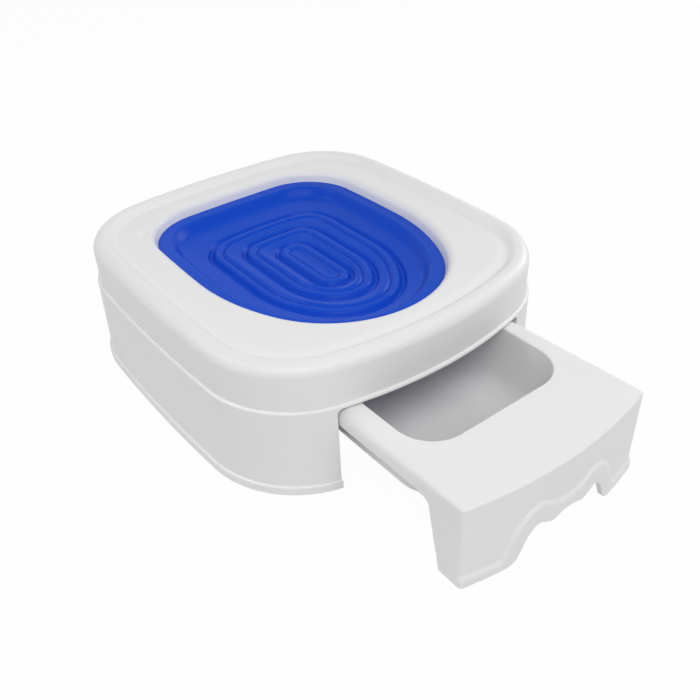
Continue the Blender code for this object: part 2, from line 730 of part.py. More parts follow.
def tub_profiles():
    """Depth profiles of the tub's cavity and of its outside, as outward growth and height."""
    foot = -TUB_DRAFT
    centre = (foot - TUB_FLOOR_ROUND, TUB_FLOOR + TUB_FLOOR_ROUND)
    floor_arc = arc_profile(centre, TUB_FLOOR_ROUND, 0, -90, 4)
    cavity = [(TUB_LIP_ROUND, DRAWER_HEIGHT + OVERRUN)]
    cavity += [(TUB_LIP_ROUND, DRAWER_HEIGHT)]
    cavity += [(TUB_LIP_ROUND * 0.3, DRAWER_HEIGHT - TUB_LIP_ROUND * 0.3)]
    cavity += [(0.0, DRAWER_HEIGHT - TUB_LIP_ROUND)]
    cavity += floor_arc
    outer_arc = arc_profile(centre, TUB_FLOOR_ROUND + WALL, 0, -90, 4)
    shell = [(WALL, DRAWER_HEIGHT - WALL * 0.5)] + outer_arc
    return cavity, shell


def rail_back(body):
    outermost = RAIL_CENTRE + RAIL_FOOT_WIDTH / 2
    return body.back_y(outermost) - SEAT_GAP


def build_rail(body, side, label):
    """An upright web with a running flange on top and a foot on the floor, tabbed to the jamb."""
    half_web = RAIL_THICKNESS / 2
    half_foot = RAIL_FOOT_WIDTH / 2
    top = PLATE_UNDER - SEAT_GAP
    half_section = [
        (half_foot, 0.0), (half_foot, RAIL_THICKNESS), (half_web, RAIL_THICKNESS),
        (half_web, top - RAIL_THICKNESS), (RAIL_HALF_FLANGE, top - RAIL_THICKNESS), (RAIL_HALF_FLANGE, top)]
    section = half_section + [(-x, z) for x, z in reversed(half_section)]
    section = [(side * (RAIL_CENTRE + x), z) for x, z in section]
    tab_start = -BODY_FRONT + JAMB_DEPTH - RAIL_TAB_LENGTH
    name = "guide_rail_" + label
    mesh = prism(name, section, tab_start, rail_back(body), axis="Y")
    rail = new_object(name, mesh, PARTS, MATERIALS["white"])

    tab_top = DRAWER_HEIGHT - SKIRT_HEIGHT - RAIL_TAB_CLEARANCE
    tab_low = RAIL_THICKNESS * 2
    jamb_face = OPENING_HALF_WIDTH - SEAT_GAP
    arm_low, arm_high = sorted((side * (RAIL_CENTRE + half_web * 0.5), side * jamb_face))
    plate_low, plate_high = sorted((side * (jamb_face - RAIL_THICKNESS), side * jamb_face))
    arm = box(
        "arm_" + label, (arm_low, tab_start + RAIL_THICKNESS, tab_low),
        (arm_high, tab_start + 2 * RAIL_THICKNESS, tab_top))
    plate = box(
        "tab_" + label, (plate_low, tab_start + RAIL_THICKNESS * 1.5, tab_low * 1.1),
        (plate_high, tab_start + RAIL_TAB_LENGTH, tab_top - RAIL_THICKNESS * 0.5))
    boolean(rail, "UNION", tool("arm_" + label, arm))
    boolean(rail, "UNION", tool("tab_" + label, plate))
    return rail


def attach(child, parent):
    child.parent = parent


def build():
    body = Outline(
        BODY_HALF_WIDTH, BODY_FRONT, BODY_BACK, BODY_SIDE_BOW, BODY_FRONT_BOW, BODY_BACK_BOW,
        BODY_FRONT_RADIUS, BODY_BACK_RADIUS)
    hole = hole_outline(HOLE_HALF_WIDTH, HOLE_FRONT, HOLE_BACK, DECK_HOLE_SHARES)
    tray_hole = hole_outline(TRAY_HOLE_HALF_WIDTH, TRAY_HOLE_FRONT, TRAY_HOLE_BACK, RING_HOLE_SHARES)
    outer_hole = hole_outline(OUTER_HOLE_HALF_WIDTH, OUTER_HOLE_FRONT, OUTER_HOLE_BACK, RING_HOLE_SHARES)
    middle_hole = hole_outline(MIDDLE_HOLE_HALF_WIDTH, MIDDLE_HOLE_FRONT, MIDDLE_HOLE_BACK, SLOT_SHARES)

    litter_box = bpy.data.objects.new("litter_box", None)
    PARTS.objects.link(litter_box)
    litter_box.location.y = BODY_Y

    attach(build_base(body), litter_box)
    cover = build_cover(body, hole)
    attach(cover, litter_box)
    tray = build_tray(hole, tray_hole)
    attach(tray, cover)
    outer_ring = build_ring("outer_ring", tray_hole, outer_hole)
    attach(outer_ring, tray)
    middle_ring = build_ring("middle_ring", outer_hole, middle_hole)
    attach(middle_ring, outer_ring)
    attach(build_cap(middle_hole), middle_ring)
    attach(build_drawer(body), litter_box)
    attach(build_rail(body, -1, "left"), litter_box)
    attach(build_rail(body, 1, "right"), litter_box)


clear_scene()
PARTS = make_collection("drawer_litter_box")
CUTTERS = make_collection("cutters")
MATERIALS = {"white": make_material("white_plastic", WHITE), "blue": make_material("blue_plastic", BLUE)}
build()
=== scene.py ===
"""Looks of the drawer cat litter box: satin white mouldings and a glossy blue training tray.

All lengths are metres, in the frame's own coordinates: +Z up, front towards -Y.
"""

import math

import bmesh
import bpy
from mathutils import Matrix, Vector


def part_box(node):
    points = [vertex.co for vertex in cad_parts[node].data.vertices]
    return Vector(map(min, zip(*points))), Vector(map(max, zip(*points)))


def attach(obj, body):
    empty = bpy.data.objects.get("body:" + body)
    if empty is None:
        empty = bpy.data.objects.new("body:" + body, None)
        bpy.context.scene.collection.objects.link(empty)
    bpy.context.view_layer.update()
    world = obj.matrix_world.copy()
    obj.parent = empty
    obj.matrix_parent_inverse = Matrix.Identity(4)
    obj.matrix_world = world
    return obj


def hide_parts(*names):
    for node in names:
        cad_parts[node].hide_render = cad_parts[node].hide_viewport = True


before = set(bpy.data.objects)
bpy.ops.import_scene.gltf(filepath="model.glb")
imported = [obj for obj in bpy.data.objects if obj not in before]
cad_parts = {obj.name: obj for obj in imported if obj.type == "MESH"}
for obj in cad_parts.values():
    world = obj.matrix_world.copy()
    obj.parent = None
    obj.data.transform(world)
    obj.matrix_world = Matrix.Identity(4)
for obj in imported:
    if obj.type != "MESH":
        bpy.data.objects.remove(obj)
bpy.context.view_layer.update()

# Outline of the cover's skirt, seen from above
BODY_HALF_WIDTH = 0.190
BODY_FRONT = 0.2072
BODY_BACK = 0.2105
BODY_SIDE_BOW = 0.0109
BODY_FRONT_ARC = 0.4413
BODY_BACK_BOW = 0.0197
BODY_FRONT_RADIUS = 0.1017
BODY_BACK_RADIUS = 0.0942

# Walls and clearances
WALL = 0.0030
SEAT_GAP = 0.0003
SEAM_GAP = 0.00005
FIT_GAP = 0.0005
OVERRUN = 0.0100
MERGE = 0.00003

# Softened edges and shading, angles in degrees
EDGE_SOFTENING = 0.0005
TRAY_SOFTENING = 0.0003
SOFTENING_SEGMENTS = 2
SOFTENING_ANGLE = 50
SHADING_ANGLE = 38
NORMAL_WEIGHT = 60

# Base
SEAM_HEIGHT = 0.0954
WALL_PROUD = 0.0030
WALL_DRAFT = 0.0014
FOOT_PROUD = 0.0040
FOOT_HEIGHT = 0.0095
FOOT_ROUND = 0.0020
LEDGE_ROUND = 0.0022
LIP_HEIGHT = 0.0060
OPENING_MARGIN = 0.0021
OPENING_ROUND = 0.0060
HEADER_HEIGHT = 0.0034
JAMB_DEPTH = 0.0790

# Cover
COVER_HEIGHT = 0.1410
RIM_ROUND = 0.0105
RIM_CREST_WIDTH = 0.0030
GROOVE_IN = 0.0240
GROOVE_DEPTH = 0.0054
DECK_IN = 0.0350
DECK_HEIGHT = 0.1370
HOLE_ROUND = 0.0090
HOLE_ROUND_OUT = 0.0063
HOLE_ROUND_END_ANGLE = 160
HOLE_HALF_WIDTH = 0.1308
HOLE_FRONT = 0.1610
HOLE_BACK = 0.1630
COLLAR_IN = 0.0040
SEAT_WIDTH = 0.0085
DIMPLE_PLACE = (-0.1275, 0.1320)
DIMPLE_RADIUS = 0.0080
DIMPLE_DEPTH = 0.0016
DIMPLE_SEGMENTS = 96
DIMPLE_RINGS = 192

# Training tray and its rings
TRAY_WALL = 0.0025
TRAY_TOP = 0.1252
FLANGE_WIDTH = 0.0138
FLANGE_ROLL = 0.0015
DISH_DEPTH = 0.0108
DISH_WALL_RUN = 0.0055
DISH_FILLET = 0.0040
BEAD_HEIGHT = 0.1142
BEAD_WIDTH = 0.0100
BEAD_RISE = 0.0064
BEAD_CREST_OUT = 0.0022
BEAD_CREST_IN = 0.0014
VALLEY_OUT = 0.0084
VALLEY_WIDTH = 0.0096
PLATEAU_SHARE = 0.75
PARTING_DEPTH = 0.0022
RING_GAP = 0.0004
RING_EDGE = -BEAD_WIDTH / 2 - RING_GAP
RING_EDGE_RUN = 0.0034
RING_SEAT_HEIGHT = 0.1096
RING_SEAT_WIDTH = 0.0040
RING_LOW = 0.0004
RING_CREST_WIDTH = 0.0050
CAP_LOW = 0.0018
CAP_DISH = 0.0005
CAP_DISH_RUN = 0.0018

# Half width, front and back of the holes in the tray and in the two rings
TRAY_HOLE = (0.0720, 0.1090, 0.0975)
OUTER_HOLE = (0.0413, 0.0785, 0.0668)
MIDDLE_HOLE = (0.0130, 0.0500, 0.0380)

# Side bow, front radius, back bow and the radii of the front and back corners of the holes,
# as shares of their half width
DECK_HOLE_SHARES = (0.05, 0.91, 0.03, 1.70, 0.55)
RING_HOLE_SHARES = (0.01, 0.82, 0.10, 1.60, 0.44)
SLOT_SHARES = (0.02, 1.12, 0.55, 0.90, 0.85)

# Drawer
DRAWER_HALF_WIDTH = 0.1119
DRAWER_HEIGHT = 0.0900
DRAWER_BACK = 0.1900
PANEL_CORNER_ROUND = 0.0042
FRONT_EDGE_ROUND = 0.0013
SIDE_ROUND_AT_CORNER = 0.0028
SIDE_ROUND = 0.0125
SIDE_ROUND_RUN = 0.1500
INNER_ROUND_LEAST = 0.0006
SKIRT_HEIGHT = 0.0180
LEG_TOP_DEPTH = 0.0350
LEG_FOOT_DEPTH = 0.0195
LEG_FILLET = 0.0070
APRON_HALF_WIDTH = 0.0580
APRON_HEIGHT = 0.0368
BORDER_PROUD = 0.0028
BORDER_SLOPE = 0.0045
BORDER_FOOT_SHARE = 1.23
BAND_SHARE = 1.1
TUB_SIDE_MARGIN = 0.0229
TUB_FRONT_MARGIN = 0.0787
TUB_BACK_MARGIN = 0.0250
TUB_RADIUS = 0.0377
TUB_LIP_ROUND = 0.0020
TUB_FLOOR = 0.0110
TUB_FLOOR_ROUND = 0.0290
TUB_DRAFT = 0.0035

# Distances from the back end of the drawer's skin between which its columns stand closer
CLOSE_COLUMNS_START = 0.0600
CLOSE_COLUMNS_END = 0.0150

# The outermost column of the back, as a share of where the front corner's arc is centred
BACK_CORNER_SHARE = 0.9

# The apron's edge from its middle to the leg, as shares of its half width and height
APRON_SHARES = (
    (0.00, 0.93), (0.16, 0.88), (0.32, 0.80), (0.47, 0.89), (0.60, 0.99),
    (0.72, 0.90), (0.83, 0.66), (0.92, 0.34), (1.00, 0.10), (1.12, 0.00),
)

# The upper line of the raised border, in the same shares
BORDER_SHARES = (
    (0.00, 1.26), (0.155, 1.28), (0.31, 1.36), (0.46, 1.49), (0.60, 1.56),
    (0.75, 1.50), (0.88, 1.34), (1.00, 1.11), (1.09, 0.84), (1.16, 0.55),
)

# Guide rail pockets in the base
RAIL_CENTRE = 0.09740
RAIL_THICKNESS = 0.0030
POCKET_DEPTH = 0.0120
POCKET_BOTTOM = 0.0060
POCKET_TOP = 0.0610
POCKET_SINK = 0.0018

# Steps round the curves
FRONT_STEPS = 18
CORNER_STEPS = 22
SIDE_STEPS = 16
BACK_STEPS = 12
ROUND_STEPS = 8
LEDGE_STEPS = 4
RIM_STEPS = 12
GROOVE_STEPS = 10
DECK_SLOPE_STEPS = 8
INNER_GROOVE_STEPS = 6
INNER_SLOPE_STEPS = 5
HOLE_ROUND_STEPS = 10
DISH_STEPS = 16
VALLEY_STEPS = 8
BEAD_STEPS = 10
PARTING_STEPS = 7
CAP_DISH_STEPS = 4
TUB_LIP_STEPS = 5
TUB_FLOOR_STEPS = 14
TUB_UNDERSIDE_STEPS = 10

# Columns and rows of the drawer's skin
PANEL_COLUMNS = 58
PANEL_CORNER_COLUMNS = 8
LEG_COLUMNS = 48
SKIRT_COLUMNS = 24
CLOSE_COLUMNS = 12
BACK_COLUMNS = 24
SKIN_ROWS = 56
INNER_SKIN_ROWS = 6
INNER_ROUND_ROWS = 4

# With no window, spin turns the other way
SPIN_SENSE = -1

# Heights of open loops are told apart at this many digits
HEIGHT_DIGITS = 5

# Where the body and the drawer stand along Y, and how far back the guide rails reach in the body
BODY_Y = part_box("cover")[0][1] + BODY_FRONT
DRAWER_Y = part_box("drawer")[1][1] - DRAWER_BACK
RAIL_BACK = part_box("guide_rail_left")[1][1] - BODY_Y

# Moulded surface: the detail of its grain, and the scales and detail of its slow changes
GRAIN_DETAIL = 3.0
PATCH_SCALE = 60.0
TONE_SCALE = 14.0
SLOW_DETAIL = 2.0
NOISE_MIDDLE = 0.5

# Plastics
WHITE_SHINE = 0.4
WHITE_LOOK = {
    "Colour": (0.875, 0.875, 0.875, 1.0),
    "Roughness": 0.38,
    "Roughness Spread": 0.05,
    "Tone Spread": 0.02,
    "Grain Size": 1500.0,
    "Grain Depth": 0.00002,
}
BLUE_SHINE = 0.08
BLUE_LOOK = {
    "Colour": (0.007, 0.074, 0.590, 1.0),
    "Roughness": 0.28,
    "Roughness Spread": 0.04,
    "Tone Spread": 0.05,
    "Grain Size": 1500.0,
    "Grain Depth": 0.00001,
}

# Camera, fitted to the photograph
CAMERA_AZIMUTH = -36.97118
CAMERA_ELEVATION = 36.23669
CAMERA_DISTANCE = 0.927033
CAMERA_TARGET = (0.017028, 0.031589, 0.009288)
CAMERA_ROLL = -2.02895
CAMERA_LENS = 42.28
CAMERA_CLIP_START = 0.01

# Studio
AMBIENT = 0.25
FLOOR_WHITE = (0.86, 0.86, 0.86, 1.0)
FLOOR_SHARE_OF_WHITE = 0.97
FLOOR_SIZE = 14.0
LAMP_AIM = (0.0, 0.0, 0.08)
LAMP_DISTANCE = 1.9
LAMP_SIZE = 1.0
BACKDROP_STRENGTH = 1.0

# Name, azimuth, elevation and power of each lamp
LAMPS = (
    ("key_softbox", -45, 50, 10.4),
    ("front_softbox", 0, 50, 8.0),
    ("right_fill", 90, 22, 9.8),
    ("back_left_fill", -135, 50, 6.6),
)


class Outline:
    """A closed outline of bowed sides, front and back, joined by tangent corner arcs.

    It starts at the middle of the front and runs round by +X. A front corner of a larger radius
    than the front's own arc gives a tapered front.
    """

    def __init__(self, half_width, front, back, side_bow, front_arc, back_bow, front_radius, back_radius):
        half_length = (front + back) / 2
        side_arc = (half_length ** 2 + side_bow ** 2) / (2 * side_bow)
        back_arc = (half_width ** 2 + back_bow ** 2) / (2 * back_bow)
        side = (half_width - side_arc, (back - front) / 2)
        fore = (0.0, front_arc - front)
        aft = (0.0, back - back_arc)
        tapered = front_radius > front_arc
        fore_corner = touching_circle(fore, front_arc, side, side_arc, front_radius, 1 if tapered else -1)
        aft_corner = touching_circle(aft, back_arc, side, side_arc, back_radius, 1)
        fore_end = bearing(fore_corner, fore) if tapered else bearing(fore, fore_corner)
        side_start = bearing(side, fore_corner)
        side_end = bearing(side, aft_corner)
        aft_start = bearing(aft, aft_corner)
        self.front = front
        self.front_centre = fore
        self.front_arc = front_arc
        self.half = [
            (fore, fore_end + math.pi / 2, FRONT_STEPS),
            (fore_corner, side_start - fore_end, CORNER_STEPS),
            (side, side_end - side_start, SIDE_STEPS),
            (aft_corner, aft_start - side_end, CORNER_STEPS),
            (aft, math.pi / 2 - aft_start, BACK_STEPS),
        ]

    def turns(self):
        """Centre, turn and steps of every arc, once round."""
        other = [((-centre[0], centre[1]), turn, steps) for centre, turn, steps in reversed(self.half)]
        return self.half + other


def bearing(centre, place):
    """Direction from a centre to a place, in radians."""
    return math.atan2(place[1] - centre[1], place[0] - centre[0])


def touching_circle(end, end_arc, side, side_arc, radius, towards):
    """Centre of the corner arc that touches the side and the front or back from inside."""
    dx = end[0] - side[0]
    dy = end[1] - side[1]
    distance = math.hypot(dx, dy)
    from_side = side_arc - radius
    from_end = end_arc - radius
    along = (from_side ** 2 - from_end ** 2 + distance ** 2) / (2 * distance)
    across = math.sqrt(max(from_side ** 2 - along ** 2, 0.0))
    places = []
    for sign in (-1, 1):
        x = side[0] + (dx * along - dy * sign * across) / distance
        y = side[1] + (dy * along + dx * sign * across) / distance
        places.append((x, y))
    return max(places, key=lambda place: place[1] * towards)


def hole_outline(sizes, shares):
    """A hole from its half width, front and back, with the rest as shares of its half width."""
    half_width, front, back = sizes
    return Outline(half_width, front, back, *[share * half_width for share in shares])


def arc(centre, radius, start, end, steps=ROUND_STEPS):
    """Points of an arc, angles in degrees."""
    points = []
    for step in range(steps + 1):
        angle = math.radians(start + (end - start) * step / steps)
        points.append((centre[0] + radius * math.cos(angle), centre[1] + radius * math.sin(angle)))
    return points


def wave(start, end, steps):
    """Points after one profile point and up to another, on a half cosine."""
    points = []
    for step in range(1, steps + 1):
        share = step / steps
        rise = (1 - math.cos(math.pi * share)) / 2
        points.append((start[0] + (end[0] - start[0]) * share, start[1] + (end[1] - start[1]) * rise))
    return points


def catmull_rom(before, start, end, after, share):
    """One coordinate of the curve from start to end, at a share of the way."""
    return 0.5 * (
        2 * start + (end - before) * share
        + (2 * before - 5 * start + 4 * end - after) * share ** 2
        + (3 * start - before - 3 * end + after) * share ** 3)


def smooth_through(points):
    """A Catmull-Rom curve through a list of points."""
    padded = [points[0]] + list(points) + [points[-1]]
    curve = []
    for index in range(1, len(padded) - 2):
        four = padded[index - 1:index + 3]
        for step in range(ROUND_STEPS):
            curve.append(tuple(catmull_rom(*along, step / ROUND_STEPS) for along in zip(*four)))
    curve.append(tuple(points[-1]))
    return curve


def smooth_step(share):
    """Eases a share in and out, and holds it between 0 and 1."""
    share = max(0.0, min(1.0, share))
    return share * share * (3 - 2 * share)


def spaced(start, end, steps):
    """Evenly spaced places after a start and up to an end."""
    return [start + (end - start) * step / steps for step in range(1, steps + 1)]


def direction(azimuth, elevation):
    """Unit vector from angles in degrees, azimuth 0 in front of the drawer and 90 on its right."""
    turn = math.radians(azimuth)
    rise = math.radians(elevation)
    return Vector((math.sin(turn) * math.cos(rise), -math.cos(turn) * math.cos(rise), math.sin(rise)))


def leave_edit_mode():
    """Goes back to object mode where a mesh is being edited."""
    if bpy.context.object and bpy.context.object.mode != "OBJECT":
        bpy.ops.object.mode_set(mode="OBJECT")


def deselect_all():
    """Leaves edit mode with no object selected."""
    leave_edit_mode()
    bpy.ops.object.select_all(action="DESELECT")


def select_only(*objs):
    """Selects these objects and makes the last one active."""
    deselect_all()
    for obj in objs:
        obj.select_set(True)
    bpy.context.view_layer.objects.active = objs[-1]


def edit(obj):
    """Selects one object and goes into its edit mode."""
    select_only(obj)
    bpy.ops.object.mode_set(mode="EDIT")


def select_edges(obj, wanted):
    """Goes into edit mode with only the wanted edges selected."""
    edit(obj)
    bpy.ops.mesh.select_all(action="DESELECT")
    bpy.ops.mesh.select_mode(type="EDGE")
    bm = bmesh.from_edit_mesh(obj.data)
    for edge in bm.edges:
        edge.select_set(wanted(edge))
    bmesh.update_edit_mesh(obj.data)


def draw_profile(name, outline, profile):
    """A chain of edges in the plane X = 0, at the front middle of an outline.

    The profile's points are outward growths and heights.
    """
    places = [Vector((0.0, -outline.front - grow, height)) for grow, height in profile]
    deselect_all()
    bpy.ops.mesh.primitive_plane_add(size=WALL)
    obj = bpy.context.object
    obj.name = name
    bpy.ops.object.mode_set(mode="EDIT")
    bpy.ops.mesh.select_mode(type="VERT")
    bpy.ops.mesh.select_all(action="SELECT")
    bpy.ops.mesh.merge(type="CENTER")
    bpy.ops.transform.translate(value=places[0])
    for before, after in zip(places, places[1:]):
        bpy.ops.mesh.extrude_region_move(TRANSFORM_OT_translate={"value": after - before})
    return obj


def sweep(name, outline, profile):
    """A profile spun along every arc of an outline in turn, and closed on itself."""
    obj = draw_profile(name, outline, profile)
    bpy.ops.mesh.select_all(action="SELECT")
    for centre, turn, steps in outline.turns():
        bpy.ops.mesh.spin(
            steps=steps, angle=turn * SPIN_SENSE, center=(centre[0], centre[1], 0.0), axis=(0.0, 0.0, 1.0))
    bpy.ops.mesh.select_all(action="SELECT")
    bpy.ops.mesh.remove_doubles(threshold=MERGE)
    leave_edit_mode()
    return obj


def join(objs):
    """Makes one object of several, under the first one's name."""
    select_only(*reversed(objs))
    bpy.ops.object.join()
    return bpy.context.object


def bridge_at(obj, height):
    """Joins the two open loops that lie at one height."""
    select_edges(obj, lambda edge: edge.is_boundary and all(
        abs(vert.co.z - height) < MERGE for vert in edge.verts))
    bpy.ops.mesh.bridge_edge_loops()
    leave_edit_mode()


def height_of(edge):
    """Height of a level edge, rounded."""
    return round(edge.verts[0].co.z, HEIGHT_DIGITS)


def bridge_loops_between(obj, which):
    """Joins the two open loops on top of a tray or ring, or the two underneath."""
    edit(obj)
    bm = bmesh.from_edit_mesh(obj.data)
    heights = sorted({height_of(edge) for edge in bm.edges if edge.is_boundary})
    joined = heights[-2:] if which == "top" else heights[:2]
    select_edges(obj, lambda edge: edge.is_boundary and height_of(edge) in joined)
    bpy.ops.mesh.bridge_edge_loops()
    leave_edit_mode()


def close_ends(obj, middle):
    """Puts a face over the open loop below a middle height, and over the one above it."""
    for below in (True, False):
        select_edges(obj, lambda edge: edge.is_boundary and (height_of(edge) < middle) == below)
        bpy.ops.mesh.edge_face_add()
        leave_edit_mode()


def face_outwards(obj):
    """Merges double points and turns every face outwards."""
    edit(obj)
    bpy.ops.mesh.select_all(action="SELECT")
    bpy.ops.mesh.remove_doubles(threshold=MERGE)
    bpy.ops.mesh.normals_make_consistent(inside=False)
    leave_edit_mode()


def apply_modifier(obj, kind, **settings):
    """Adds a modifier with its settings and applies it."""
    select_only(obj)
    modifier = obj.modifiers.new(kind.lower(), kind)
    for name, value in settings.items():
        setattr(modifier, name, value)
    bpy.ops.object.modifier_apply(modifier=modifier.name)


def cut_or_join(obj, other, operation):
    """Cuts another object out of this one or adds it, and removes the other."""
    apply_modifier(obj, "BOOLEAN", operation=operation, solver="EXACT", object=other)
    bpy.data.objects.remove(other, do_unlink=True)


def block(name, low, high):
    """A box from its two corners."""
    deselect_all()
    bpy.ops.mesh.primitive_cube_add(
        size=1.0, location=[(a + b) / 2 for a, b in zip(low, high)],
        scale=[b - a for a, b in zip(low, high)])
    bpy.context.object.name = name
    bpy.ops.object.transform_apply(location=True, rotation=True, scale=True)
    return bpy.context.object


def soften_edges(obj, width):
    """Bevels the sharp edges of a piece."""
    apply_modifier(
        obj, "BEVEL", width=width, segments=SOFTENING_SEGMENTS, limit_method="ANGLE",
        angle_limit=math.radians(SOFTENING_ANGLE), use_clamp_overlap=False)


def finish_piece(obj, material, along_y, body, node):
    """Shades a piece, puts it in its place, ties it to its body and hides the CAD node that it stands in
    for.
    """
    select_only(obj)
    obj.location.y = along_y
    bpy.ops.object.transform_apply(location=True, rotation=True, scale=True)
    bpy.ops.object.shade_smooth_by_angle(angle=math.radians(SHADING_ANGLE))
    apply_modifier(obj, "WEIGHTED_NORMAL", keep_sharp=True, weight=NORMAL_WEIGHT)
    obj.data.materials.clear()
    obj.data.materials.append(material)
    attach(obj, body)
    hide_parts(node)


def make_base(body, material):
    """Outer wall with foot flange, seam ledge and lip, the drawer's opening and the rails' pockets."""
    foot_edge = WALL_PROUD + FOOT_PROUD
    lip = -WALL - FIT_GAP
    lip_top = SEAM_HEIGHT + LIP_HEIGHT
    profile = [(foot_edge, 0.0)]
    profile += arc((foot_edge - FOOT_ROUND, FOOT_HEIGHT - FOOT_ROUND), FOOT_ROUND, 0, 90)
    profile += [(WALL_PROUD + WALL_DRAFT, FOOT_HEIGHT)]
    profile += arc((WALL_PROUD - LEDGE_ROUND, SEAM_HEIGHT - LEDGE_ROUND), LEDGE_ROUND, 0, 90, LEDGE_STEPS)
    profile += [
        (lip, SEAM_HEIGHT),
        (lip, lip_top),
        (lip - WALL, lip_top),
        (lip - WALL, SEAM_HEIGHT - WALL),
        (WALL_PROUD - WALL, SEAM_HEIGHT - WALL),
        (WALL_PROUD - WALL, FOOT_HEIGHT - WALL),
        (foot_edge - WALL, FOOT_HEIGHT - WALL),
        (foot_edge - WALL, 0.0),
        (foot_edge, 0.0),
    ]
    base = sweep("base_moulding", body, profile)
    face_outwards(base)
    half = DRAWER_HALF_WIDTH + OPENING_MARGIN
    opening_top = SEAM_HEIGHT - HEADER_HEIGHT
    opening = block(
        "opening", (-half, -BODY_FRONT - foot_edge - OVERRUN, -OVERRUN),
        (half, -BODY_FRONT + JAMB_DEPTH, opening_top))
    round_upper_sides(opening, opening_top, OPENING_ROUND)
    cut_or_join(base, opening, "DIFFERENCE")
    jamb_front = body.front_centre[1] - math.sqrt((body.front_arc + WALL_PROUD) ** 2 - (half + WALL) ** 2)
    for side in (-1, 1):
        low_x, high_x = sorted((side * half, side * (half + WALL)))
        jamb = block(
            "jamb", (low_x, jamb_front + WALL / 2, 0.0),
            (high_x, -BODY_FRONT + JAMB_DEPTH, SEAM_HEIGHT - WALL - SEAT_GAP))
        cut_or_join(base, jamb, "UNION")
        for rib in (-1, 1):
            near = RAIL_CENTRE + rib * (RAIL_THICKNESS / 2 + SEAT_GAP)
            low_x, high_x = sorted((side * near, side * (near + rib * WALL)))
            pocket = block(
                "pocket", (low_x, RAIL_BACK - POCKET_DEPTH, POCKET_BOTTOM),
                (high_x, RAIL_BACK + POCKET_SINK, POCKET_TOP))
            cut_or_join(base, pocket, "UNION")
    soften_edges(base, EDGE_SOFTENING)
    finish_piece(base, material, BODY_Y, "base", "base")


def round_upper_sides(obj, top, radius):
    """Bevels the two edges at the top of a block that run along Y."""
    def runs_along_top(edge):
        """Whether an edge of the top face runs along Y."""
        first, second = edge.verts
        return min(first.co.z, second.co.z) > top - MERGE and abs(first.co.x - second.co.x) < MERGE

    select_edges(obj, runs_along_top)
    bpy.ops.mesh.bevel(offset=radius, segments=ROUND_STEPS)
    leave_edit_mode()


def make_cover(body, hole, material):
    """Skirt, rolled rim, groove and deck on the body's outline, then collar and seat on the hole's."""
    crest = (-RIM_ROUND - RIM_CREST_WIDTH, COVER_HEIGHT)
    groove = (-GROOVE_IN, COVER_HEIGHT - GROOVE_DEPTH)
    deck = (-DECK_IN, DECK_HEIGHT)
    rim_centre = (-RIM_ROUND, COVER_HEIGHT - RIM_ROUND)
    skirt_low = SEAM_HEIGHT + SEAM_GAP
    seat = TRAY_TOP - TRAY_WALL - SEAT_GAP
    seat_edge = -COLLAR_IN - SEAT_WIDTH
    shell = [(deck[0], deck[1] - WALL)]
    shell += wave((deck[0], deck[1] - WALL), (groove[0], groove[1] - WALL), INNER_SLOPE_STEPS)
    shell += wave((groove[0], groove[1] - WALL), (crest[0], crest[1] - WALL), INNER_GROOVE_STEPS)
    shell += arc(rim_centre, RIM_ROUND - WALL, 90, 0)
    shell += [(-WALL, skirt_low), (0.0, skirt_low)]
    shell += arc(rim_centre, RIM_ROUND, 0, 90, RIM_STEPS)
    shell += [crest]
    shell += wave(crest, groove, GROOVE_STEPS)
    shell += wave(groove, deck, DECK_SLOPE_STEPS)
    collar = arc(
        (HOLE_ROUND_OUT, DECK_HEIGHT - HOLE_ROUND), HOLE_ROUND, 90, HOLE_ROUND_END_ANGLE, HOLE_ROUND_STEPS)
    collar += [
        (-COLLAR_IN, TRAY_TOP),
        (-COLLAR_IN, seat),
        (seat_edge, seat),
        (seat_edge, seat - WALL),
        (WALL - COLLAR_IN, seat - WALL),
        (WALL - COLLAR_IN, TRAY_TOP),
        (HOLE_ROUND_OUT, DECK_HEIGHT - WALL),
    ]
    cover = join([sweep("cover_moulding", body, shell), sweep("collar", hole, collar)])
    bridge_at(cover, DECK_HEIGHT)
    bridge_at(cover, DECK_HEIGHT - WALL)
    face_outwards(cover)
    soften_edges(cover, EDGE_SOFTENING)
    press_dimple(cover)
    finish_piece(cover, material, BODY_Y, "cover", "cover")


def press_dimple(cover):
    """The shallow round gate mark in the deck's back left corner."""
    ball = (DIMPLE_RADIUS ** 2 + DIMPLE_DEPTH ** 2) / (2 * DIMPLE_DEPTH)
    deselect_all()
    bpy.ops.mesh.primitive_uv_sphere_add(
        segments=DIMPLE_SEGMENTS, ring_count=DIMPLE_RINGS, radius=ball,
        location=(DIMPLE_PLACE[0], DIMPLE_PLACE[1], DECK_HEIGHT - DIMPLE_DEPTH + ball))
    bpy.ops.object.transform_apply(location=True, rotation=True, scale=True)
    cut_or_join(cover, bpy.context.object, "DIFFERENCE")


